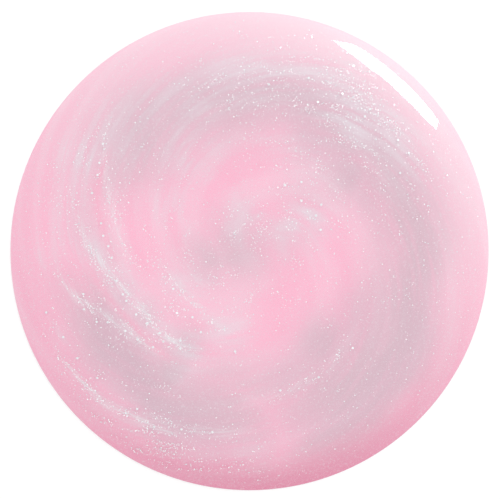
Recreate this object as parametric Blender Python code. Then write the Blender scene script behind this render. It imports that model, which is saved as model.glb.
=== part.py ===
"""A round drop of pearl-pink glitter gel, poured on a flat surface as a colour sample.

Metres, +Z up. The origin is the centre of the flat underside, and the drop's axis is Z.

The drop has three kinds of piece, from the underside up:
  gel_body          the pink gel that carries the pearl pigment
  glitter_flake_NN  the coarse glitter, flat six-sided flakes that float just over the pigment
  clear_top_layer   the clear gel that stands over the flakes and gives the gloss

Each layer ends in the surface that gravity and surface tension give a wide drop. Its slope is
greatest where it meets the table and falls to nothing inwards, so a surface is described by its
radius and its height alone.
"""

import math
import random
from typing import NamedTuple

import bmesh
import bpy
from mathutils import Matrix, Vector

# Driving dimensions, in metres, and angles in degrees.
DROP_DIAMETER = 0.030
SURFACE_TENSION = 0.031  # N/m
GEL_DENSITY = 1090.0  # kg/m3
GRAVITY = 9.81  # m/s2
CONTACT_ANGLE = 55.0  # between the table and the drop's edge

CLEAR_DEPTH = 0.00016  # thickness of the clear layer over the middle
CLEAR_RIM = 0.00010  # its width where it meets the table
FLAKE_SPACE_DEPTH = 0.00030  # room for the flakes, between the clear layer and the gel body
FLAKE_SPACE_RIM = 0.00030  # the same room where it meets the table

FLAKE_ACROSS_FLATS = 0.00014
FLAKE_THICKNESS = 0.00003
FLAKE_SIDES = 6
FLAKE_CLEARANCE = 0.00005  # least room over and under a flake
FLAKE_GAP = 0.00020  # least distance between two flakes
MOST_FLAKE_TILT = 20.0

# How finely the round surfaces are cut.
AROUND = 72
RINGS = 15
RING_SLOPE_RATIO = 0.66  # each ring's slope, as a share of the one outside it

SCATTER_SEED = 7
PLACING_TRIES = 200

CAPILLARY_LENGTH = math.sqrt(SURFACE_TENSION / (GEL_DENSITY * GRAVITY))
FLAKE_ACROSS_CORNERS = FLAKE_ACROSS_FLATS / math.cos(math.pi / FLAKE_SIDES)


class Surface(NamedTuple):
    """The top of one layer, as a sessile drop of this radius and height."""

    radius: float
    height: float


class Trail(NamedTuple):
    """A stretch of the swirl that glitter has gathered along.

    The radii are shares of the drop's radius, the angles are degrees anticlockwise from +X, and
    spread is how far flakes stray to either side, as a share of the drop's radius.
    """

    start_radius: float
    start_angle: float
    end_radius: float
    end_angle: float
    spread: float
    flakes: int


TRAILS = (
    Trail(0.77, 142, 0.56, 186, 0.020, 8),  # the long streak, from the left edge inwards
    Trail(0.56, 188, 0.47, 240, 0.020, 9),  # and on towards the foot of the drop
    Trail(0.76, 190, 0.53, 226, 0.030, 7),  # the streak beside it
    Trail(0.87, 196, 0.76, 264, 0.030, 9),  # the outermost streak
    Trail(0.36, 196, 0.38, 262, 0.040, 5),  # round the eye, below left
    Trail(0.60, 280, 0.57, 318, 0.020, 3),  # below right
    Trail(0.72, 22, 0.70, 84, 0.060, 9),  # across the grey band, above right
    Trail(0.38, 12, 0.30, 66, 0.070, 6),  # round the eye, above right
)


def contact_slope(surface):
    """The slope at which a surface meets the table, in radians."""
    return 2 * math.asin(surface.height / (2 * CAPILLARY_LENGTH))


def reach(slope):
    """How far a surface of this slope lies from the edge, in capillary lengths, less a constant."""
    return math.log(math.tan(slope / 4)) + 2 * math.cos(slope / 2)


def radius_at_slope(surface, slope):
    inset = CAPILLARY_LENGTH * (reach(contact_slope(surface)) - reach(slope))
    return surface.radius - inset


def height_at_slope(surface, slope):
    return surface.height - 2 * CAPILLARY_LENGTH * math.sin(slope / 2)


def slope_at_radius(surface, radius):
    """The slope of a surface at this distance from the axis, found by halving."""
    low, high = 1e-6, contact_slope(surface)
    for _ in range(60):
        middle = math.sqrt(low * high)
        if radius_at_slope(surface, middle) < radius:
            low = middle
        else:
            high = middle
    return low


def height_at_radius(surface, radius):
    return height_at_slope(surface, slope_at_radius(surface, radius))


def outline(surface):
    """(radius, height) of each ring of a surface, from the table inwards."""
    slope = contact_slope(surface)
    rings = []
    for _ in range(RINGS):
        rings.append((radius_at_slope(surface, slope), height_at_slope(surface, slope)))
        slope *= RING_SLOPE_RATIO
    return rings


def clear_scene():
    for item in list(bpy.data.objects):
        bpy.data.objects.remove(item)


def material(name, colour, roughness, metallic=0.0, alpha=1.0):
    made = bpy.data.materials.new(name)
    made.use_nodes = True
    shader = made.node_tree.nodes["Principled BSDF"]
    shader.inputs["Base Color"].default_value = (*colour, 1.0)
    shader.inputs["Roughness"].default_value = roughness
    shader.inputs["Metallic"].default_value = metallic
    shader.inputs["Alpha"].default_value = alpha
    return made


def link(name, mesh, finish):
    item = bpy.data.objects.new(name, mesh)
    bpy.context.scene.collection.objects.link(item)
    item.data.materials.clear()
    item.data.materials.append(finish)
    return item


def turned(name, profile, finish):
    """A solid turned round Z from an open profile of (radius, height), with its two ends capped."""
    mesh = bpy.data.meshes.new(name)
    shape = bmesh.new()
    corners = [shape.verts.new((radius, 0, height)) for radius, height in profile]
    edges = [shape.edges.new(pair) for pair in zip(corners, corners[1:])]
    bmesh.ops.spin(
        shape,
        geom=corners + edges,
        cent=(0, 0, 0),
        axis=(0, 0, 1),
        angle=2 * math.pi,
        steps=AROUND,
        use_merge=True,
    )
    bmesh.ops.holes_fill(shape, edges=shape.edges, sides=AROUND)
    bmesh.ops.recalc_face_normals(shape, faces=shape.faces)
    shape.to_mesh(mesh)
    shape.free()
    mesh.shade_smooth()
    mesh.set_sharp_from_angle(angle=math.radians(30))
    return link(name, mesh, finish)


def flake_mesh():
    """One six-sided flake, centred on its own origin and lying flat."""
    mesh = bpy.data.meshes.new("glitter_flake")
    shape = bmesh.new()
    bmesh.ops.create_cone(
        shape,
        cap_ends=True,
        segments=FLAKE_SIDES,
        radius1=FLAKE_ACROSS_CORNERS / 2,
        radius2=FLAKE_ACROSS_CORNERS / 2,
        depth=FLAKE_THICKNESS,
    )
    shape.to_mesh(mesh)
    shape.free()
    return mesh


def tilt_limit(room):
    """How far a flake may lean, in degrees, in a space of this depth."""
    spare = max(0.0, room - FLAKE_THICKNESS - 2 * FLAKE_CLEARANCE)
    return min(MOST_FLAKE_TILT, math.degrees(math.atan(spare / FLAKE_ACROSS_CORNERS)))


def flake_place(radius, angle, under, over, scatter):
    """The matrix of a flake midway between two surfaces, leaning a little from their slope."""
    slope = slope_at_radius(over, radius)
    low, high = height_at_radius(under, radius), height_at_radius(over, radius)
    lean = math.radians(scatter.uniform(0, tilt_limit((high - low) * math.cos(slope))))
    return (
        Matrix.Rotation(angle, 4, "Z")
        @ Matrix.Translation((radius, 0, (low + high) / 2))
        @ Matrix.Rotation(slope, 4, "Y")
        @ Matrix.Rotation(scatter.uniform(0, 2 * math.pi), 4, "Z")
        @ Matrix.Rotation(lean, 4, "X")
        @ Matrix.Rotation(scatter.uniform(0, 2 * math.pi), 4, "Z")
    )


def point_on(trail, share, scatter):
    """(radius, angle in radians) of a point this share of the way along a trail."""
    radius = trail.start_radius + share * (trail.end_radius - trail.start_radius)
    angle = trail.start_angle + share * (trail.end_angle - trail.start_angle)
    radius += scatter.uniform(-trail.spread, trail.spread)
    return radius * DROP_DIAMETER / 2, math.radians(angle)


def add_flakes(under, over, finish):
    scatter = random.Random(SCATTER_SEED)
    mesh = flake_mesh()
    apart = FLAKE_ACROSS_CORNERS + FLAKE_GAP
    centres = []
    for trail in TRAILS:
        for step in range(trail.flakes):
            for _ in range(PLACING_TRIES):
                share = (step + scatter.random()) / trail.flakes
                radius, angle = point_on(trail, share, scatter)
                centre = Vector((radius * math.cos(angle), radius * math.sin(angle), 0))
                if all((centre - other).length > apart for other in centres):
                    break
            centres.append(centre)
            flake = link(f"glitter_flake_{len(centres):02d}", mesh, finish)
            flake.matrix_world = flake_place(radius, angle, under, over, scatter)


def main():
    clear_scene()

    top = Surface(
        DROP_DIAMETER / 2,
        2 * CAPILLARY_LENGTH * math.sin(math.radians(CONTACT_ANGLE) / 2),
    )
    clear_underside = Surface(top.radius - CLEAR_RIM, top.height - CLEAR_DEPTH)
    gel_top = Surface(
        clear_underside.radius - FLAKE_SPACE_RIM,
        clear_underside.height - FLAKE_SPACE_DEPTH,
    )

    pearl_pink = material("pearl_pink_gel", (0.92, 0.55, 0.66), roughness=0.35)
    clear = material("clear_gel", (1.0, 0.96, 0.98), roughness=0.03, alpha=0.25)
    silver = material("silver_glitter", (0.90, 0.92, 0.94), roughness=0.2, metallic=0.8)

    turned("gel_body", outline(gel_top), pearl_pink)
    turned("clear_top_layer", outline(top)[::-1] + outline(clear_underside), clear)
    add_flakes(gel_top, clear_underside, silver)


main()
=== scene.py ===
"""The looks of a round drop of pearl-pink glitter gel, seen from straight above on a white floor.

Metres, +Z up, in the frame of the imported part: the drop's underside is on Z = 0, its axis is Z, and
angles run anticlockwise from +X as seen from above.
"""

import math
from typing import NamedTuple

import bpy
import numpy as np
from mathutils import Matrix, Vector, noise


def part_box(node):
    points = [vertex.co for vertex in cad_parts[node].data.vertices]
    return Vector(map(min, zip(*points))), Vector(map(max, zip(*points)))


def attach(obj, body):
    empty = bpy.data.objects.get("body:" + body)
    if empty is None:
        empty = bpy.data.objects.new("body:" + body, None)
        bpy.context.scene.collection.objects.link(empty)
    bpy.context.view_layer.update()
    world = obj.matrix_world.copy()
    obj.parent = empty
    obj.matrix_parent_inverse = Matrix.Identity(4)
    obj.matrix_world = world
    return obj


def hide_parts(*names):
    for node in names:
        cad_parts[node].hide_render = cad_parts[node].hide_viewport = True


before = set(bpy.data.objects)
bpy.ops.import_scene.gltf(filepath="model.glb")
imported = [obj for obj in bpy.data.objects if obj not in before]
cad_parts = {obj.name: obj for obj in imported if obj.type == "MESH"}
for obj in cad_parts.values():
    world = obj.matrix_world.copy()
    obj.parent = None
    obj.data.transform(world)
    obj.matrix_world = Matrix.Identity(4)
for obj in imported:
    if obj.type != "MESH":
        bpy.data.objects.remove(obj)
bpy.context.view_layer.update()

# Left alone, mathutils seeds its noise vectors from the clock, and each run would differ.
NOISE_SEED = 3
noise.seed_set(NOISE_SEED)

# The drop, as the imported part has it.
drop_low, drop_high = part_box("clear_top_layer")
DROP_RADIUS = drop_high.x
DROP_HEIGHT = drop_high.z - drop_low.z
CAPILLARY_LENGTH = 0.0017027  # of the gel; it sets how wide the curved rim is

# How far the clear layer's underside and the pearl gel's top lie inside the drop: at its edge, and
# under the middle of its top. Between the two is the space that the glitter floats in.
CLEAR_RIM = 0.00002
CLEAR_DEPTH = 0.00016
PEARL_RIM = 0.00005
PEARL_DEPTH = 0.00046

# How finely the round meshes are divided: points to a ring, and rings to a surface.
AROUND = 384
PEARL_RINGS = 150
UNDER_RINGS = 60
CLEAR_RINGS = 90
SHARP_EDGE = 35.0  # degrees between two faces, above which their edge isn't smoothed

# The picture: how much wider it is than the drop, and where its middle lies.
VIEW_TO_DROP = 1.0425
VIEW_MIDDLE = (0.00003, 0.00010)


# ---------------------------------------------------------------- the shape of a drop


class Surface(NamedTuple):
    """The top of one layer, as a sessile drop of this radius and height."""

    radius: float
    height: float


FLATTEST = 1e-6  # radians, the slope that the search for a slope starts from
HALVINGS = 50
TOP = Surface(DROP_RADIUS, DROP_HEIGHT)
CLEAR_UNDERSIDE = Surface(DROP_RADIUS - CLEAR_RIM, DROP_HEIGHT - CLEAR_DEPTH)
PEARL_TOP = Surface(DROP_RADIUS - PEARL_RIM, DROP_HEIGHT - PEARL_DEPTH)


def reach(slope):
    """How far a surface of this slope lies from the edge, in capillary lengths, less a constant."""
    return np.log(np.tan(slope / 4)) + 2 * np.cos(slope / 2)


def slope_at(surface, radius):
    """The slope of a surface at these distances from the axis, in radians, found by halving."""
    contact = 2 * math.asin(surface.height / (2 * CAPILLARY_LENGTH))
    inset = (surface.radius - np.asarray(radius, float)) / CAPILLARY_LENGTH
    low = np.full_like(inset, FLATTEST)
    high = np.full_like(inset, contact)
    for _ in range(HALVINGS):
        middle = np.sqrt(low * high)
        too_flat = reach(contact) - reach(middle) > inset
        low = np.where(too_flat, middle, low)
        high = np.where(too_flat, high, middle)
    return middle


def height_at(surface, radius):
    """How high a surface lies over the table at these distances from the axis."""
    return surface.height - 2 * CAPILLARY_LENGTH * np.sin(slope_at(surface, radius) / 2)


# ---------------------------------------------------------------- the swirl in the pearl, and light and shade painted on it


class Band(NamedTuple):
    """A stretch of the swirl through a few places, each an angle in degrees and a radius.

    Radii and widths are shares of the drop's radius.
    """

    angles: tuple
    radii: tuple
    width: float
    strength: float
    fade: float = 0.25  # of its length, at each end


class Spot(NamedTuple):
    """A round soft place in the swirl. Its middle's radius and its size are shares as well."""

    radius: float
    angle: float
    size: float
    strength: float


GREY_BANDS = (
    Band((-100, -60, 0, 60, 100, 140, 176), (0.67, 0.68, 0.69, 0.66, 0.64, 0.68, 0.71), 0.185, 1.0, 0.16),
    Band((175, 210, 240, 292), (0.74, 0.68, 0.70, 0.72), 0.16, 0.85),
    Band((132, 155, 180, 200), (0.78, 0.72, 0.64, 0.60), 0.08, 0.4),
    Band((210, 250, 300, 360, 400, 440), (0.58, 0.57, 0.55, 0.56, 0.54, 0.51), 0.10, 0.60),
    Band((272, 300, 330, 350), (0.87, 0.86, 0.79, 0.76), 0.10, 0.85),
)
MILKY_BANDS = (
    Band((10, 45, 75, 120), (0.74, 0.77, 0.76, 0.70), 0.10, 0.50),
    Band((165, 185, 205, 245), (0.66, 0.58, 0.53, 0.49), 0.07, 0.34),
    Band((95, 120, 155), (0.60, 0.70, 0.80), 0.13, 0.32),
    Band((216, 230, 244, 268), (0.90, 0.885, 0.88, 0.875), 0.05, 0.28),
    Band((140, 152, 170, 190), (0.84, 0.80, 0.76, 0.70), 0.06, 0.35),
)
PEARL_STREAKS = (
    Band((160, 173, 190, 207, 226, 250), (0.77, 0.69, 0.575, 0.505, 0.492, 0.458), 0.020, 0.9),
    Band((188, 200, 214, 228, 244), (0.575, 0.526, 0.500, 0.490, 0.468), 0.012, 1.0),
    Band((132, 141, 158, 171, 190), (0.83, 0.765, 0.62, 0.545, 0.47), 0.020, 0.42),
    Band((183, 191, 197, 204, 211, 222, 232), (0.82, 0.77, 0.72, 0.65, 0.61, 0.57, 0.56), 0.020, 0.8),
    Band((204, 213, 224, 235, 256), (0.905, 0.886, 0.872, 0.834, 0.80), 0.014, 0.85),
    Band((232, 246, 257, 275), (0.81, 0.785, 0.762, 0.74), 0.018, 0.45),
    Band((180, 187, 204, 222, 262), (0.41, 0.375, 0.33, 0.31, 0.345), 0.018, 0.5),
    Band((272, 285, 300, 325), (0.62, 0.60, 0.58, 0.54), 0.016, 0.35),
    Band((20, 50, 80, 118), (0.80, 0.79, 0.76, 0.70), 0.035, 0.30),
    Band((10, 45, 75, 120), (0.62, 0.64, 0.63, 0.58), 0.035, 0.25),
    Band((10, 35, 70, 110), (0.36, 0.44, 0.46, 0.45), 0.03, 0.22),
    Band((140, 170, 200, 235), (0.24, 0.27, 0.25, 0.20), 0.012, 0.25),
)
BLUSHES = (
    Band((140, 158, 172, 190), (0.73, 0.68, 0.61, 0.53), 0.022, 0.55),
    Band((178, 195, 212, 240), (0.70, 0.62, 0.565, 0.55), 0.018, 0.45),
    Band((90, 104, 116, 128), (0.20, 0.30, 0.42, 0.52), 0.05, 0.22),
)
# Painted shade: darker lilac bands laid over the swirl, mostly on the side away from the lamp.
PAINTED_SHADE_BANDS = (
    Band((278, 305, 330, 354), (0.80, 0.80, 0.78, 0.77), 0.09, 0.26),
    Band((270, 298, 325, 352), (0.49, 0.49, 0.50, 0.52), 0.09, 0.20),
    Band((192, 215, 245, 272), (0.58, 0.66, 0.78, 0.82), 0.09, 0.32),
    Band((12, 35, 58, 80), (0.50, 0.51, 0.53, 0.55), 0.09, 0.18),
)
GREY_SPOTS = (
    Spot(0.04, 150, 0.15, 0.85),
    Spot(0.17, 190, 0.12, 0.80),
    Spot(0.14, 20, 0.12, 0.45),
    Spot(0.33, 45, 0.12, 0.35),
    Spot(0.51, 40, 0.14, 0.85),
    Spot(0.51, 310, 0.14, 0.85),
    Spot(0.50, 238, 0.09, 0.80),
    Spot(0.62, 236, 0.12, 1.00),
    Spot(0.52, 215, 0.08, 0.60),
)
MILKY_AND_SHEEN_SPOTS = (
    Spot(0.15, 85, 0.13, 0.40),
    Spot(0.22, 25, 0.12, 0.60),
    Spot(0.30, 205, 0.12, 0.25),
    Spot(0.36, 255, 0.12, 0.42),
    Spot(0.45, 60, 0.13, 0.25),
    Spot(0.50, 122, 0.13, 0.45),
    Spot(0.38, 148, 0.11, 0.35),
    Spot(0.51, 240, 0.10, 0.42),
    Spot(0.88, 272, 0.07, 0.45),
    Spot(0.81, 150, 0.10, 0.60),
    # Milky pearl and painted sheen: it lightens the gel along the inside of the highlight.
    Spot(0.88, 60, 0.08, 0.75),
    Spot(0.70, 52, 0.10, 0.75),
    Spot(0.24, 30, 0.10, 0.70),
    Spot(0.60, 180, 0.07, 0.50),
    Spot(0.82, 180, 0.07, 0.30),
    Spot(0.88, 204, 0.05, 0.25),
)
SWIRL_TURN = 5.0  # radians that a spiral line of the swirl turns from the rim to the middle

# How the swirl's edges wander: the size of the waves and how far they move a point.
WIDE_WANDER = (0.0045, 0.0009)
CLOSE_WANDER = (0.0014, 0.0002)
STREAK_WANDER = (0.0015, 0.00012)


class PaintedRimLight(NamedTuple):
    """Light or shade painted on the rim as colour, towards or away from the lamp. It sets in at a radius,
    as a share of the drop's, and is full after a width.

    It is strongest at one angle, and a higher power keeps it closer to that angle.
    """

    start: float
    width: float
    angle: float
    power: int
    strength: float


# Painted sheen: the rim paler on the side towards the lamp.
PAINTED_SHEEN_RIM = PaintedRimLight(0.70, 0.27, 60.0, 2, 0.8)
# Painted shade: the rim darker and a deeper pink on the side away from the lamp.
PAINTED_SHADE_RIM = PaintedRimLight(0.78, 0.22, 278.0, 4, 1.0)

# The noise behind the glitter's wisps: how rough it is, and the step and number of its octaves.
WISP_NOISE = (0.6, 2.0, 4)


def smooth(share):
    """A soft step from 0 to 1 as the share goes from 0 to 1."""
    share = np.clip(share, 0.0, 1.0)
    return share * share * (3 - 2 * share)


def band_mask(band, share_of_radius, angle):
    """How much of a band there is at each point, from 0 to its strength."""
    start, end = band.angles[0], band.angles[-1]
    turned = start + (angle - start) % 360
    centre = np.interp(turned, band.angles, band.radii)
    along = (turned - start) / (end - start)
    across = (share_of_radius - centre) / band.width
    ends = smooth(along / band.fade) * smooth((1 - along) / band.fade)
    return band.strength * np.exp(-across * across) * ends


def spot_mask(spot, share_of_radius, angle):
    """How much of a spot there is at each point, from 0 to its strength."""
    away = np.radians(angle - spot.angle)
    squared = share_of_radius**2 + spot.radius**2 - 2 * share_of_radius * spot.radius * np.cos(away)
    return spot.strength * np.exp(-squared / spot.size**2)


def most_of(bands, spots, share_of_radius, angle):
    """The strongest of these bands and spots at each point."""
    masks = [band_mask(band, share_of_radius, angle) for band in bands]
    masks += [spot_mask(spot, share_of_radius, angle) for spot in spots]
    return np.max(masks, axis=0)


def drift(points, size, amount):
    """Points moved a little along smooth noise, so that the swirl's edges wander."""
    moved = [noise.noise_vector(Vector((x, y, 0)) / size)[:2] for x, y in points]
    return points + amount * np.array(moved)


def polar(points):
    """Each point's distance from the axis as a share of the drop's radius, and its angle."""
    return np.linalg.norm(points, axis=1) / DROP_RADIUS, np.arctan2(points[:, 1], points[:, 0])


def untwisted(points, turn=SWIRL_TURN):
    """Where points lie once the swirl is unwound. Noise there comes out stretched along the swirl."""
    share, angle = polar(points)
    turned = angle + turn * share
    return np.stack([share * np.cos(turned), share * np.sin(turned)], axis=1)


def clumping(points, size, turn):
    """Noise from 0 to 1 in wisps along the swirl. Its size is a share of the drop's radius."""
    places = untwisted(points, turn) / size
    return np.array([0.5 + 0.5 * noise.fractal(Vector((x, y, 0)), *WISP_NOISE) for x, y in places])


def painted_rim_light_mask(rim, share_of_radius, angle):
    """How much painted light or shade of the rim there is at each point, with the angle in radians."""
    facing = 0.5 + 0.5 * np.cos(angle - math.radians(rim.angle))
    return smooth((share_of_radius - rim.start) / rim.width) * facing**rim.power * rim.strength


def folds_at(points):
    """Where points lie among the broad bands and spots: share of the radius, and degrees."""
    share, angle = polar(drift(drift(points, *WIDE_WANDER), *CLOSE_WANDER))
    return share, np.degrees(angle)


def streaks_at(points):
    """Where points lie among the fine streaks, which wander less."""
    share, angle = polar(drift(points, *STREAK_WANDER))
    return share, np.degrees(angle)


def swirl(points):
    """The parts that make up the pearl's colour at points on the drop, seen from above, painted shade and
    sheen among them.
    """
    edge = polar(points)
    folds = folds_at(points)
    streaks = streaks_at(points)
    return {
        "grey": most_of(GREY_BANDS, GREY_SPOTS, *folds),
        "pearl": most_of(PEARL_STREAKS, (), *streaks),
        "milk_and_sheen": most_of(MILKY_BANDS, MILKY_AND_SHEEN_SPOTS, *folds),
        "blush": most_of(BLUSHES, (), *streaks),
        "painted_shade": most_of(PAINTED_SHADE_BANDS, (), *folds),
        "painted_rim_sheen": painted_rim_light_mask(PAINTED_SHEEN_RIM, *edge),
        "painted_rim_shade": painted_rim_light_mask(PAINTED_SHADE_RIM, *edge),
    }


# ---------------------------------------------------------------- meshes


def new_object(name, mesh, material):
    """A new object in the scene, made of this one material."""
    made = bpy.data.objects.new(name, mesh)
    bpy.context.scene.collection.objects.link(made)
    made.data.materials.append(material)
    return made


def turned_mesh(name, radii, heights):
    """A closed mesh turned round Z from rings that begin and end at a point on the axis."""
    turns = np.arange(AROUND) * 2 * math.pi / AROUND
    rings = []
    for radius, height in zip(radii[1:-1], heights[1:-1]):
        ring = (radius * np.cos(turns), radius * np.sin(turns), np.full(AROUND, height))
        rings.append(np.stack(ring, axis=1))
    poles = np.array([(0, 0, heights[0]), (0, 0, heights[-1])])
    corners = np.concatenate(rings + [poles])
    first_pole = len(corners) - 2
    here = np.arange(AROUND)
    after = (here + 1) % AROUND
    faces = [(first_pole, int(a), int(b)) for a, b in zip(here, after)]
    for ring in range(len(rings) - 1):
        inner = ring * AROUND
        outer = inner + AROUND
        quads = np.stack([inner + here, outer + here, outer + after, inner + after], axis=1)
        faces += quads.tolist()
    last = (len(rings) - 1) * AROUND
    faces += [(first_pole + 1, int(last + b), int(last + a)) for a, b in zip(here, after)]
    mesh = bpy.data.meshes.new(name)
    mesh.from_pydata(corners.tolist(), [], faces)
    mesh.shade_smooth()
    mesh.set_sharp_from_angle(angle=math.radians(SHARP_EDGE))
    return mesh


def radii_inwards(radius, rings):
    """Radii from the edge to the axis, closest together where the surface curves most."""
    return radius * np.sin(np.linspace(math.pi / 2, 0, rings))


def pearl_gel_mesh():
    """The pearl gel: its top from the axis out, then its flat underside back in."""
    radii = radii_inwards(PEARL_TOP.radius, PEARL_RINGS)[::-1]
    heights = height_at(PEARL_TOP, radii)
    heights[-1] = 0.0
    under = np.linspace(PEARL_TOP.radius, 0.0, UNDER_RINGS)[1:]
    radii = np.concatenate([radii, under])
    heights = np.concatenate([heights, np.zeros_like(under)])
    return turned_mesh("pearl_gel", radii, heights)


def clear_layer_mesh():
    """The clear layer as a shell: its top from the axis out, then its underside back in."""
    top = radii_inwards(TOP.radius, CLEAR_RINGS)[::-1]
    under = radii_inwards(CLEAR_UNDERSIDE.radius, CLEAR_RINGS)
    top_heights = height_at(TOP, top)
    under_heights = height_at(CLEAR_UNDERSIDE, under)
    top_heights[-1] = under_heights[0] = 0.0
    radii = np.concatenate([top, under])
    heights = np.concatenate([top_heights, under_heights])
    return turned_mesh("clear_gloss_layer", radii, heights)


# ---------------------------------------------------------------- materials


class Nodes:
    """Short names for the node tree of a new material."""

    def __init__(self, name):
        self.material = bpy.data.materials.new(name)
        self.material.use_nodes = True
        self.tree = self.material.node_tree
        self.tree.nodes.clear()

    def add(self, kind, inputs=(), **settings):
        node = self.tree.nodes.new("ShaderNode" + kind)
        for key, value in settings.items():
            setattr(node, key, value)
        for key, value in dict(inputs).items():
            if isinstance(value, bpy.types.NodeSocket):
                self.tree.links.new(value, node.inputs[key])
            else:
                node.inputs[key].default_value = value
        return node

    def attribute(self, name):
        return self.add("Attribute", attribute_name=name).outputs["Fac"]

    def noise(self, where, scale, detail=3.0, roughness=0.5):
        wanted = {"Vector": where, "Scale": scale, "Detail": detail, "Roughness": roughness}
        return self.add("TexNoise", wanted).outputs["Fac"]

    def between(self, value, low, high, to_low=0.0, to_high=1.0):
        wanted = {"Value": value, 1: low, 2: high, 3: to_low, 4: to_high}
        return self.add("MapRange", wanted, interpolation_type="SMOOTHSTEP").outputs["Result"]

    def times(self, one, other):
        return self.add("Math", {0: one, 1: other}, operation="MULTIPLY").outputs[0]

    def plus(self, one, other):
        return self.add("Math", {0: one, 1: other}, operation="ADD").outputs[0]

    def subtract(self, one, other):
        return self.add("Math", {0: one, 1: other}, operation="SUBTRACT").outputs[0]

    def mixed(self, share, one, other):
        wanted = {"Factor": share, 6: one, 7: other}
        return self.add("Mix", wanted, data_type="RGBA").outputs[2]

    def object_place(self):
        return self.add("TexCoord").outputs["Object"]

    def finish(self, shader):
        output = self.add("OutputMaterial")
        self.tree.links.new(shader, output.inputs["Surface"])
        return self.material


# The clear layer. Between these two heights over the table it goes from dull to glossy.
CLEAR_IOR = 1.5
EDGE_DULL_BELOW = 0.00012
EDGE_CLEAR_ABOVE = 0.00058
EDGE_ROUGHNESS = 0.35
EDGE_GLOSS = 0.08  # how much of its mirror image is left at the very edge
DUST_SCALE = 500.0

# The pearl gel's noise. The grain is set in metres, and the others in the unwound swirl.
GRAIN_SCALE = 9000.0
CLOUD_SCALE = 2.5
WISP_SCALE = 9.0
THREAD_SCALE = 30.0
THREAD_RELIEF = 0.00001
THREAD_BUMP = 0.15
PEARL_SPECULAR = 0.1

PINK = (0.97, 0.49, 0.64, 1)
LIGHT_PINK = (0.96, 0.56, 0.69, 1)
GREY_LILAC = (0.70, 0.483, 0.563, 1)
MILK = (0.80, 0.70, 0.76, 1)
PEARL_WHITE = (0.82, 0.83, 0.85, 1)
BLUSH = (0.95, 0.43, 0.58, 1)
# Painted shade on the gel.
PAINTED_SHADE_LILAC = (0.55, 0.42, 0.49, 1)
# Painted shade on the rim, away from the lamp.
PAINTED_SHADE_PINK = (0.77, 0.29, 0.42, 1)
# Painted sheen on the rim towards the lamp.
PAINTED_SHEEN_PINK = (0.90, 0.72, 0.78, 1)


def pearl_gel_material():
    """Pink gel with the swirl's parts laid over each other, painted shade and sheen among them, then fine
    pearl threads and grain.
    """
    nodes = Nodes("pearl_gel")
    place = nodes.object_place()
    grain = nodes.noise(place, GRAIN_SCALE, detail=2.0)
    flow = nodes.add("UVMap", uv_map="flow").outputs["UV"]
    cloud = nodes.noise(flow, CLOUD_SCALE, detail=2.0, roughness=0.45)
    wisp = nodes.noise(flow, WISP_SCALE, detail=2.5, roughness=0.5)
    thread = nodes.noise(flow, THREAD_SCALE, detail=4.0, roughness=0.65)

    colour = nodes.mixed(nodes.between(cloud, 0.42, 0.62), PINK, LIGHT_PINK)
    grey = nodes.times(nodes.attribute("grey"), nodes.between(wisp, 0.30, 0.55, 0.78, 1.0))
    colour = nodes.mixed(grey, colour, GREY_LILAC)
    # Milky pearl, with painted sheen along the inside of the highlight.
    milk_and_sheen = nodes.times(nodes.attribute("milk_and_sheen"), nodes.between(wisp, 0.35, 0.65, 0.3, 1.3))
    colour = nodes.mixed(milk_and_sheen, colour, MILK)
    # Painted shade: darker lilac bands, mostly away from the lamp.
    colour = nodes.mixed(nodes.attribute("painted_shade"), colour, PAINTED_SHADE_LILAC)
    colour = nodes.mixed(nodes.attribute("blush"), colour, BLUSH)
    # Painted sheen: the rim towards the lamp paler.
    colour = nodes.mixed(nodes.attribute("painted_rim_sheen"), colour, PAINTED_SHEEN_PINK)
    # Painted shade: the rim away from the lamp darker and a deeper pink.
    colour = nodes.mixed(nodes.attribute("painted_rim_shade"), colour, PAINTED_SHADE_PINK)
    colour = nodes.mixed(nodes.between(wisp, 0.50, 0.72, 0.0, 0.04), colour, PEARL_WHITE)
    threads = nodes.times(nodes.attribute("pearl"), nodes.between(thread, 0.40, 0.64, 0.12, 0.85))
    colour = nodes.mixed(threads, colour, PEARL_WHITE)
    colour = nodes.mixed(nodes.between(grain, 0.50, 0.75, 0.0, 0.3), colour, PEARL_WHITE)

    bump = nodes.add(
        "Bump", {"Height": thread, "Distance": THREAD_RELIEF, "Strength": THREAD_BUMP}
    )
    shader = nodes.add(
        "BsdfPrincipled",
        {
            "Base Color": colour,
            "Roughness": nodes.between(grain, 0.3, 0.7, 0.38, 0.50),
            "Specular IOR Level": PEARL_SPECULAR,
            "Normal": bump.outputs[0],
        },
    )
    return nodes.finish(shader.outputs[0])


def clear_gel_material():
    """Clear gel: its top mirrors its Fresnel share of the light, and the rest passes through.

    Where it thins out to the table it is duller and mirrors less.
    """
    nodes = Nodes("clear_gel")
    place = nodes.object_place()
    height = nodes.add("SeparateXYZ", {0: place}).outputs["Z"]
    dust = nodes.between(nodes.noise(place, DUST_SCALE), 0.3, 0.7, 0.01, 0.03)
    dull_edge = nodes.between(height, EDGE_DULL_BELOW, EDGE_CLEAR_ABOVE, EDGE_ROUGHNESS, 0.0)
    edge_gloss = nodes.between(height, EDGE_DULL_BELOW, EDGE_CLEAR_ABOVE, EDGE_GLOSS, 1.0)
    facing_out = nodes.subtract(1.0, nodes.add("NewGeometry").outputs["Backfacing"])
    fresnel = nodes.add("Fresnel", {"IOR": CLEAR_IOR}).outputs[0]
    mirrored = nodes.times(nodes.times(fresnel, facing_out), edge_gloss)
    through = nodes.add("BsdfTransparent")
    gloss = nodes.add("BsdfGlossy", {"Roughness": nodes.plus(dust, dull_edge)})
    layers = {0: mirrored, 1: through.outputs[0], 2: gloss.outputs[0]}
    return nodes.finish(nodes.add("MixShader", layers).outputs[0])


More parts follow.
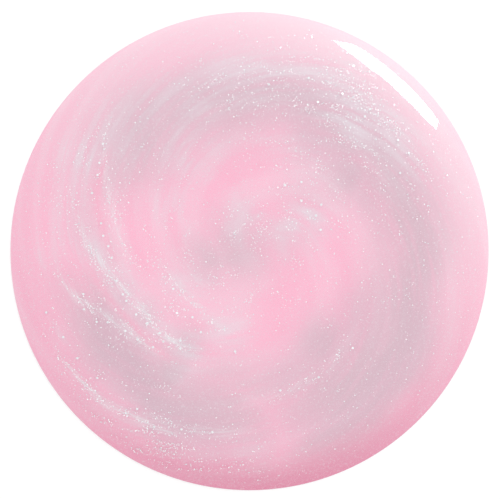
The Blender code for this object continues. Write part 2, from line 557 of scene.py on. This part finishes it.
class Finish(NamedTuple):
    """The looks of one kind of flake. Its tone runs from dark to bright."""

    name: str
    dark: tuple
    bright: tuple
    metallic: float
    roughness: float


BRIGHT_FLAKE = Finish("bright_flake", (0.94, 0.97, 0.98, 1), (1.0, 1.0, 1.0, 1), 0.8, 0.25)
SILVER_FLAKE = Finish("silver_flake", (0.76, 0.82, 0.84, 1), (0.97, 0.99, 1.0, 1), 0.4, 0.35)
PEARL_FLAKE = Finish("pearl_flake", (0.88, 0.76, 0.81, 1), (1.0, 0.96, 0.98, 1), 0.3, 0.4)
FINE_FLAKE = Finish("fine_flake", (0.90, 0.74, 0.80, 1), (1.0, 0.92, 0.95, 1), 0.3, 0.45)
COARSE_FLAKE = Finish("coarse_flake", (0.86, 0.89, 0.91, 1), (0.94, 0.96, 0.97, 1), 0.15, 0.5)
WEAR_SCALE = 20000.0
WEAR_TONE = 0.1  # how far wear shifts a flake's tone, either way
WEAR_ROUGHNESS = 0.2  # and its roughness, as a share


def glitter_material(finish):
    """A flake's material. The mesh gives each flake a tone of its own, and wear varies it."""
    nodes = Nodes(finish.name)
    tone = nodes.attribute("tone")
    wear = nodes.noise(nodes.object_place(), WEAR_SCALE, detail=2.0)
    varied = nodes.plus(tone, nodes.between(wear, 0.3, 0.7, -WEAR_TONE, WEAR_TONE))
    smoothest = finish.roughness * (1 - WEAR_ROUGHNESS)
    roughest = finish.roughness * (1 + WEAR_ROUGHNESS)
    shader = nodes.add(
        "BsdfPrincipled",
        {
            "Base Color": nodes.mixed(varied, finish.dark, finish.bright),
            "Metallic": finish.metallic,
            "Roughness": nodes.between(wear, 0.3, 0.7, smoothest, roughest),
        },
    )
    return nodes.finish(shader.outputs[0])


FLOOR_GREYS = (0.88, 0.90)
FLOOR_GRAIN_SCALE = 60.0
FLOOR_LIFT = 0.12  # light that the floor adds where it is seen, so that it shows as white


def floor_material():
    """A white floor that keeps the drop's shadow and is white where no shadow falls."""
    nodes = Nodes("white_floor")
    grain = nodes.noise(nodes.object_place(), FLOOR_GRAIN_SCALE)
    darker, lighter = ((grey, grey, grey, 1) for grey in FLOOR_GREYS)
    white = nodes.mixed(grain, darker, lighter)
    matte = nodes.add("BsdfDiffuse", {"Color": white})
    path = nodes.add("LightPath")
    seen = nodes.add(
        "Math",
        {0: path.outputs["Is Camera Ray"], 1: path.outputs["Is Glossy Ray"]},
        operation="MAXIMUM",
    ).outputs[0]
    lift = nodes.add("Emission", {"Strength": nodes.times(seen, FLOOR_LIFT)})
    both = nodes.add("AddShader", {0: matte.outputs[0], 1: lift.outputs[0]})
    return nodes.finish(both.outputs[0])


# ---------------------------------------------------------------- pearl gel and clear layer

# The bake map: the top is a disc that nearly fills it, and the underside a small one in a corner.
TOP_DISC = 0.495  # its radius, as a share of the map's side
UNDER_DISC = 0.085  # the radius of the other
UNDER_MIDDLE = 0.087  # and how far its middle lies from the map's sides
FACING_DOWN = -0.9  # a face with less than this of its normal upwards is on the underside
UNDER_STREAKS = 0.3  # how much of the pearl streaks shows on the underside


def add_bake_map(mesh, points, loops):
    """A flat map in which neighbours on the gel stay neighbours, for whoever bakes its colours."""
    downward = [face.normal.z < FACING_DOWN for face in mesh.polygons]
    under = np.repeat(downward, [face.loop_total for face in mesh.polygons])
    places = points[loops] / PEARL_TOP.radius
    top_map = 0.5 + TOP_DISC * places
    under_map = UNDER_MIDDLE + UNDER_DISC * places * (-1, 1)
    chosen = np.where(under[:, None], under_map, top_map)
    layer = mesh.uv_layers.new(name="OFBake")
    layer.data.foreach_set("uv", chosen.astype(np.float32).ravel())


def add_pearl_gel():
    """The pearl gel, with the swirl's parts as attributes that its material reads."""
    mesh = pearl_gel_mesh()
    corners = np.empty(len(mesh.vertices) * 3)
    mesh.vertices.foreach_get("co", corners)
    points = corners.reshape(-1, 3)[:, :2]
    parts = swirl(points)
    parts["pearl"][corners[2::3] == 0.0] *= UNDER_STREAKS
    for name, values in parts.items():
        layer = mesh.attributes.new(name, "FLOAT", "POINT")
        layer.data.foreach_set("value", values.astype(np.float32))
    loops = np.empty(len(mesh.loops), np.int32)
    mesh.loops.foreach_get("vertex_index", loops)
    flow = untwisted(points)
    mesh.uv_layers.new(name="flow").data.foreach_set("uv", flow[loops].astype(np.float32).ravel())
    add_bake_map(mesh, points, loops)
    piece = new_object("pearl_gel", mesh, pearl_gel_material())
    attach(piece, "root")
    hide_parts("gel_body")


def add_clear_layer():
    piece = new_object("clear_gloss_layer", clear_layer_mesh(), clear_gel_material())
    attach(piece, "root")
    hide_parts("clear_top_layer")


# ---------------------------------------------------------------- glitter


class Glitter(NamedTuple):
    """One grade of glitter. Sizes in metres, tilt in degrees."""

    name: str
    flakes: int
    smallest: float
    largest: float
    thickness: float
    tilt: float
    seed: int
    finish: Finish


GRADES = (
    Glitter("bright_glitter", 500, 0.00007, 0.00011, 0.000010, 7, 4, BRIGHT_FLAKE),
    Glitter("silver_glitter", 2350, 0.00005, 0.000085, 0.000008, 10, 1, SILVER_FLAKE),
    Glitter("pearl_glitter", 2200, 0.00004, 0.00007, 0.000007, 12, 2, PEARL_FLAKE),
    Glitter("fine_pearl_shimmer", 3000, 0.00003, 0.00005, 0.000006, 14, 3, FINE_FLAKE),
)
FLAKE_CORNERS = 6
CORNER_SHIFT = 0.25  # how far a corner may stray round the outline, as a share of the space to the next
CORNER_REACH = (0.8, 1.1)  # how far out corners lie, as shares of half a flake's size
FLOAT_SPAN = 0.3  # how far from the middle of the space flakes float, as a share of the room in it


class Patch(NamedTuple):
    """A place with more glitter than its surroundings, or with less where the density is negative.

    Radii are shares of the drop's radius, and angles are in degrees.
    """

    radius: float
    angle: float
    radial_size: float
    angular_size: float
    density: float


PATCHES = (
    Patch(0.70, 58, 0.13, 30, 1.4),
    Patch(0.87, 50, 0.05, 20, 0.7),
    Patch(0.82, 56, 0.06, 24, 1.0),
    Patch(0.90, 24, 0.07, 16, -0.15),
    Patch(0.42, 50, 0.13, 28, 0.3),
    Patch(0.08, 110, 0.10, 90, 0.9),
    Patch(0.22, 20, 0.10, 50, 0.7),
    Patch(0.14, 235, 0.10, 60, 0.7),
    Patch(0.28, 205, 0.16, 40, 0.5),
    Patch(0.53, 202, 0.14, 34, 0.5),
    Patch(0.89, 242, 0.09, 24, 1.9),
    Patch(0.74, 165, 0.10, 22, 0.7),
    Patch(0.92, 290, 0.08, 40, -0.2),
)


BASE_DENSITY = 0.22
GLITTER_REACH = 0.965  # no flake's middle lies further out, as a share of the pearl gel's radius
TRIES_PER_FLAKE = 4
DENSEST = 8.5  # denser places than this get no more flakes


class Clumps(NamedTuple):
    """How glitter clumps along the swirl: the clumps' size, their turn and where they set in."""

    size: float  # a share of the drop's radius
    turn: float  # radians from the rim to the middle
    start: float
    width: float


WISPS = Clumps(0.08, 3.0, 0.46, 0.22)
KNOTS = Clumps(0.035, 1.5, 0.50, 0.20)

# How thick the glitter lies, as multiples of the density that the patches give.
BETWEEN_WISPS = 0.12
IN_WISPS = 1.3
IN_KNOTS = 1.5  # in the knots of a wisp, on top of that
# And in the pearl streaks, whatever patch they cross.
IN_STREAKS = 6.5
STREAK_BETWEEN_KNOTS = 0.15
STREAK_IN_KNOTS = 1.3


def patch_density(patch, share, angle):
    """How much a patch adds to the density at each point."""
    around = ((angle - patch.angle + 180) % 360 - 180) / patch.angular_size
    across = (share - patch.radius) / patch.radial_size
    return patch.density * np.exp(-across * across - around * around)


def clumps_at(points, clumps):
    """How deep in a clump each point lies, from 0 to 1."""
    return smooth((clumping(points, clumps.size, clumps.turn) - clumps.start) / clumps.width)


def glitter_density(points):
    """How thickly glitter lies at each point: in patches, in wisps and knots, and in the streaks."""
    share, angle = polar(points)
    density = BASE_DENSITY + sum(patch_density(patch, share, np.degrees(angle)) for patch in PATCHES)
    wisps = clumps_at(points, WISPS)
    knots = clumps_at(points, KNOTS)
    streaks = most_of(PEARL_STREAKS, (), *streaks_at(points))
    in_gel = density * (BETWEEN_WISPS + IN_WISPS * wisps + IN_KNOTS * wisps * knots)
    in_streaks = IN_STREAKS * streaks * (STREAK_BETWEEN_KNOTS + STREAK_IN_KNOTS * knots)
    return in_gel + in_streaks


def scattered(count, rng):
    """Points over the drop, drawn so that their density follows glitter_density."""
    kept = np.empty((0, 2))
    tries = TRIES_PER_FLAKE * count
    while len(kept) < count:
        radius = GLITTER_REACH * PEARL_TOP.radius * np.sqrt(rng.random(tries))
        angle = 2 * math.pi * rng.random(tries)
        points = np.stack([radius * np.cos(angle), radius * np.sin(angle)], axis=1)
        chosen = rng.random(tries) * DENSEST < glitter_density(points)
        kept = np.concatenate([kept, points[chosen]])
    return kept[:count]


def unit(vectors):
    return vectors / np.linalg.norm(vectors, axis=1, keepdims=True)


def flake_frames(points, tilt, rng):
    """Three unit vectors for each flake: two across its face and the one that it faces."""
    radius = np.linalg.norm(points, axis=1)
    slope = slope_at(PEARL_TOP, radius)
    outward = points / np.maximum(radius, 1e-9)[:, None]
    facing = np.concatenate([outward * np.sin(slope)[:, None], np.cos(slope)[:, None]], axis=1)
    lean = np.tan(np.radians(tilt)) * 0.5 * rng.normal(size=(len(points), 3))
    facing = unit(facing + lean)
    side = unit(np.cross(facing, rng.normal(size=(len(points), 3))))
    return side, np.cross(facing, side), facing


def flake_mesh(name, centres, sizes, thickness, frames, rng):
    """Thin closed plates of uneven outline, all in one mesh."""
    side, up, facing = (vectors[:, None, :] for vectors in frames)
    count = len(centres)
    shifts = rng.uniform(-CORNER_SHIFT, CORNER_SHIFT, (count, FLAKE_CORNERS))
    turns = (np.arange(FLAKE_CORNERS) + shifts) * (2 * math.pi / FLAKE_CORNERS)
    reach_out = sizes[:, None] / 2 * rng.uniform(*CORNER_REACH, (count, FLAKE_CORNERS))
    outline = (
        centres[:, None, :]
        + side * (reach_out * np.cos(turns))[:, :, None]
        + up * (reach_out * np.sin(turns))[:, :, None]
    )
    corners = np.concatenate(
        [outline + facing * thickness / 2, outline - facing * thickness / 2], axis=1
    ).reshape(-1, 3)
    front = list(range(FLAKE_CORNERS))
    back = [2 * FLAKE_CORNERS - 1 - corner for corner in front]
    sides = [
        (corner, corner + FLAKE_CORNERS, after + FLAKE_CORNERS, after)
        for corner in front
        for after in [(corner + 1) % FLAKE_CORNERS]
    ]
    plate = [front, back] + sides
    faces = [
        [corner + flake * 2 * FLAKE_CORNERS for corner in face]
        for flake in range(count)
        for face in plate
    ]
    mesh = bpy.data.meshes.new(name)
    mesh.from_pydata(corners.tolist(), [], faces)
    return mesh


def add_glitter(grade):
    """All the flakes of one grade, as one piece that floats between the two gels."""
    rng = np.random.default_rng(grade.seed)
    points = scattered(grade.flakes, rng)
    sizes = rng.uniform(grade.smallest, grade.largest, grade.flakes)
    radius = np.linalg.norm(points, axis=1)
    low = height_at(PEARL_TOP, radius)
    high = height_at(CLEAR_UNDERSIDE, radius)
    room = np.maximum(high - low - sizes / 2 - grade.thickness, 0)
    heights = low + (high - low) / 2 + room * rng.uniform(-FLOAT_SPAN, FLOAT_SPAN, grade.flakes)
    centres = np.concatenate([points, heights[:, None]], axis=1)
    frames = flake_frames(points, grade.tilt, rng)
    mesh = flake_mesh(grade.name, centres, sizes, grade.thickness, frames, rng)
    tone = mesh.attributes.new("tone", "FLOAT", "POINT")
    tones = np.repeat(rng.random(grade.flakes), 2 * FLAKE_CORNERS)
    tone.data.foreach_set("value", tones.astype(np.float32))
    piece = new_object(grade.name, mesh, glitter_material(grade.finish))
    piece.visible_shadow = False  # such thin flakes let the light through
    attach(piece, "root")


def finish_coarse_flakes():
    """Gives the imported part's own flakes, the coarsest ones, their material."""
    coarse = glitter_material(COARSE_FLAKE)
    for name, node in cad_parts.items():
        if name.startswith("glitter_flake"):
            node.data.materials.clear()
            node.data.materials.append(coarse)


# ---------------------------------------------------------------- floor, lights and camera


FLOOR_HALF = 1.0
FLOOR_HEIGHT = -0.00002  # just under the drop, so that the two faces don't coincide


def add_floor():
    mesh = bpy.data.meshes.new("floor")
    signs = ((-1, -1), (1, -1), (1, 1), (-1, 1))
    corners = [(x * FLOOR_HALF, y * FLOOR_HALF, FLOOR_HEIGHT) for x, y in signs]
    mesh.from_pydata(corners, [], [(0, 1, 2, 3)])
    new_object("floor", mesh, floor_material())


FILL = 0.963  # of the surround, where 1 would light a white surface to white
KEY_DIRECTION = (50.0, 59.0)  # angle round Z and angle from the vertical
KEY_DISTANCE = 0.30
KEY_SIZE = 0.16
KEY_RADIANCE = 2.6
PANEL_RADIANCE = 13.0

# The panel's corners, sideways and up as shares of its distance.
PANEL_OUTLINE = (
    (0.30, -0.06),
    (0.24, -0.32),
    (0.00, -0.22),
    (-0.27, -0.22),
    (-0.25, 0.08),
    (-0.18, 0.17),
    (-0.06, 0.21),
    (0.10, 0.18),
    (0.20, 0.09),
)


def towards(azimuth, from_vertical):
    """The unit vector in a direction given by two angles in degrees."""
    a = math.radians(azimuth)
    v = math.radians(from_vertical)
    return Vector((math.sin(v) * math.cos(a), math.sin(v) * math.sin(a), math.cos(v)))


def add_key():
    """A softbox that gives the soft light. It is kept out of reflections."""
    light = bpy.data.lights.new("key", "AREA")
    light.shape = "RECTANGLE"
    light.size = KEY_SIZE
    light.size_y = KEY_SIZE
    light.energy = KEY_RADIANCE * math.pi * light.size * light.size_y
    lamp = bpy.data.objects.new("key", light)
    bpy.context.scene.collection.objects.link(lamp)
    direction = towards(*KEY_DIRECTION)
    lamp.location = direction * KEY_DISTANCE
    lamp.rotation_euler = direction.to_track_quat("Z", "Y").to_euler()
    lamp.visible_glossy = False


def add_highlight_panel():
    """The lit panel whose reflection is the sharp highlight. It adds nothing to the soft light."""
    nodes = Nodes("panel_light")
    material = nodes.finish(nodes.add("Emission", {"Strength": PANEL_RADIANCE}).outputs[0])
    direction = towards(*KEY_DIRECTION)
    sideways = Vector((0, 0, 1)).cross(direction).normalized()
    upwards = direction.cross(sideways)
    corners = [
        (direction + sideways * across + upwards * up) * KEY_DISTANCE for across, up in PANEL_OUTLINE
    ]
    mesh = bpy.data.meshes.new("highlight_panel")
    mesh.from_pydata(corners, [], [list(range(len(corners)))])
    panel = new_object("highlight_panel", mesh, material)
    panel.visible_diffuse = False
    panel.visible_camera = False
    panel.visible_shadow = False


def add_world():
    """A white surround. It is full white wherever it is seen, and lights the drop a little less."""
    world = bpy.data.worlds.new("white_surround")
    bpy.context.scene.world = world
    world.use_nodes = True
    tree = world.node_tree
    background = tree.nodes["Background"]
    path = tree.nodes.new("ShaderNodeLightPath")
    seen = path.outputs["Is Camera Ray"]
    for output in ("Is Glossy Ray", "Is Transmission Ray"):
        either = tree.nodes.new("ShaderNodeMath")
        either.operation = "MAXIMUM"
        tree.links.new(seen, either.inputs[0])
        tree.links.new(path.outputs[output], either.inputs[1])
        seen = either.outputs[0]
    strength = tree.nodes.new("ShaderNodeMapRange")
    strength.inputs["To Min"].default_value = FILL
    strength.inputs["To Max"].default_value = 1.0
    tree.links.new(seen, strength.inputs["Value"])
    tree.links.new(strength.outputs["Result"], background.inputs["Strength"])
    background.inputs["Color"].default_value = (1, 1, 1, 1)


def add_lights():
    add_world()
    add_key()
    add_highlight_panel()


SENSOR_WIDTH = 36.0  # both in millimetres
FOCAL_LENGTH = 100.0
NEAREST_SEEN = 0.001
FARTHEST_SEEN = 2.0


def add_camera():
    """A camera straight above the drop."""
    data = bpy.data.cameras.new("camera")
    data.sensor_width = SENSOR_WIDTH
    data.lens = FOCAL_LENGTH
    data.clip_start = NEAREST_SEEN
    data.clip_end = FARTHEST_SEEN
    camera = bpy.data.objects.new("camera", data)
    bpy.context.scene.collection.objects.link(camera)
    distance = 2 * DROP_RADIUS * VIEW_TO_DROP * data.lens / data.sensor_width
    camera.location = (*VIEW_MIDDLE, distance)
    bpy.context.scene.camera = camera


add_pearl_gel()
add_clear_layer()
for grade in GRADES:
    add_glitter(grade)
finish_coarse_flakes()
add_floor()
add_lights()
add_camera()
bpy.context.scene.view_settings.view_transform = "Standard"
